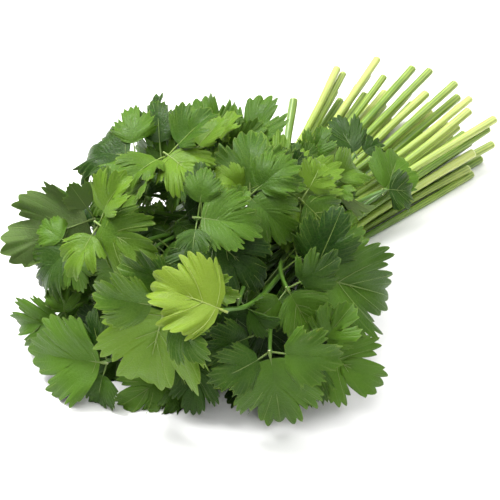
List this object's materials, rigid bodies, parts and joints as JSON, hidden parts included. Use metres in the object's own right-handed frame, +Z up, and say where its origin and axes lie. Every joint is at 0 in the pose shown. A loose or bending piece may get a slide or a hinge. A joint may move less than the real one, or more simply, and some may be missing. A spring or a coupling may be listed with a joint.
{
  "type": "parsley bunch",
  "caption": "Flat-leaf parsley bunch lying down: a dense head of toothed leaflets on pale stems that fan out to their cut ends.",
  "frame": {"origin": "on the surface it lies on, under the middle of its bounding box", "axes": "+Y runs along the stems from the leafy head to the cut ends, +Z is up from the surface, and +X is to the right seen from the cut ends' far side looking along +Y"},
  "size_m": [0.1792, 0.2965, 0.1064],
  "materials": {
    "deep_green": "satin dark green leaf, shaded inner growth",
    "mid_green": "satin mid green leaf on a pale green stem",
    "bright_green": "satin bright green leaf on a pale green stem",
    "yellow_green": "satin yellow-green young leaf on a pale green stem"
  },
  "bodies": {
    "root": {"sprig_left_broad": "mid_green", "sprig_left_upper": "mid_green", "sprig_back_left": "mid_green", "sprig_crown_back": "mid_green", "sprig_crown_far": "mid_green", "sprig_crown_bright": "bright_green", "sprig_crown_light": "bright_green", "sprig_crown_narrow": "bright_green", "sprig_crown_fork": "bright_green", "sprig_left_middle": "mid_green", "sprig_centre_yellow": "yellow_green", "sprig_centre_shade": "deep_green", "sprig_middle_smooth": "mid_green", "sprig_middle_dark": "mid_green", "sprig_right_crown": "bright_green", "sprig_right_yellow": "bright_green", "sprig_crown_middle": "mid_green", "sprig_right_broad": "mid_green", "sprig_right_fold": "mid_green", "sprig_front_broad": "bright_green", "sprig_front_hanging": "deep_green", "sprig_front_right": "mid_green", "sprig_right_fingers": "mid_green", "sprig_left_lower": "mid_green", "sprig_left_fingers": "mid_green", "sprig_front_left": "mid_green", "sprig_front_low": "mid_green", "sprig_waist_dark": "deep_green", "sprig_waist_upright": "mid_green", "sprig_waist_right": "mid_green", "sprig_waist_pale": "mid_green", "sprig_waist_low": "deep_green", "sprig_waist_left": "mid_green", "sprig_far_upper": "mid_green", "sprig_far_middle": "deep_green", "sprig_far_lower": "deep_green", "sprig_far_front": "mid_green", "sprig_under_left": "deep_green", "sprig_under_front": "deep_green", "sprig_under_right": "deep_green", "sprig_under_back": "deep_green", "sprig_far_back": "mid_green", "sprig_inner_crown": "deep_green", "sprig_front_base": "deep_green", "sprig_inner_shade": "deep_green", "sprig_right_middle": "mid_green", "sprig_right_low": "deep_green", "sprig_inner_left": "deep_green", "sprig_inner_front": "deep_green", "sprig_inner_right": "deep_green", "sprig_inner_top": "deep_green", "sprig_right_back": "mid_green", "sprig_crown_edge": "mid_green", "sprig_waist_bright": "bright_green", "sprig_left_shade": "mid_green", "sprig_left_dark": "deep_green", "sprig_centre_small": "deep_green", "sprig_front_shade": "deep_green", "sprig_right_inner": "deep_green", "sprig_right_under": "deep_green"}
  },
  "joints": []
}
